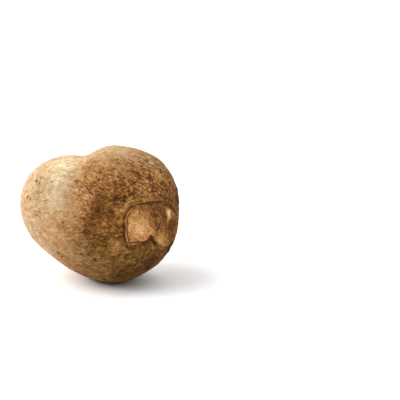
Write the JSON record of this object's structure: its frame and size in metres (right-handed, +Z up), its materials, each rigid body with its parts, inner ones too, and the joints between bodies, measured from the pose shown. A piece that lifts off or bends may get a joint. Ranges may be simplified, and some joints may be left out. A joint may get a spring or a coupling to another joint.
{
  "type": "yam tuber",
  "caption": "Whole stocky white yam tuber with a pale rounded toe, brown corky bark and a sunken oval crown scar, resting on a small flat spot.",
  "frame": {"origin": "on the ground, under the middle of the tuber's bounding box", "axes": "+Z up, +X from the pale toe end towards the crown end, which is the longest extent; -Y is the side that shows the crown scar, and Y is the shortest extent"},
  "size_m": [0.162, 0.124, 0.1355],
  "materials": {
    "bark": "dry matt corky skin, pale and smoother on the toe end, brown and fissured over the rest, orange-tan on the crown scar"
  },
  "bodies": {
    "root": {"yam_tuber": "bark"}
  },
  "joints": []
}
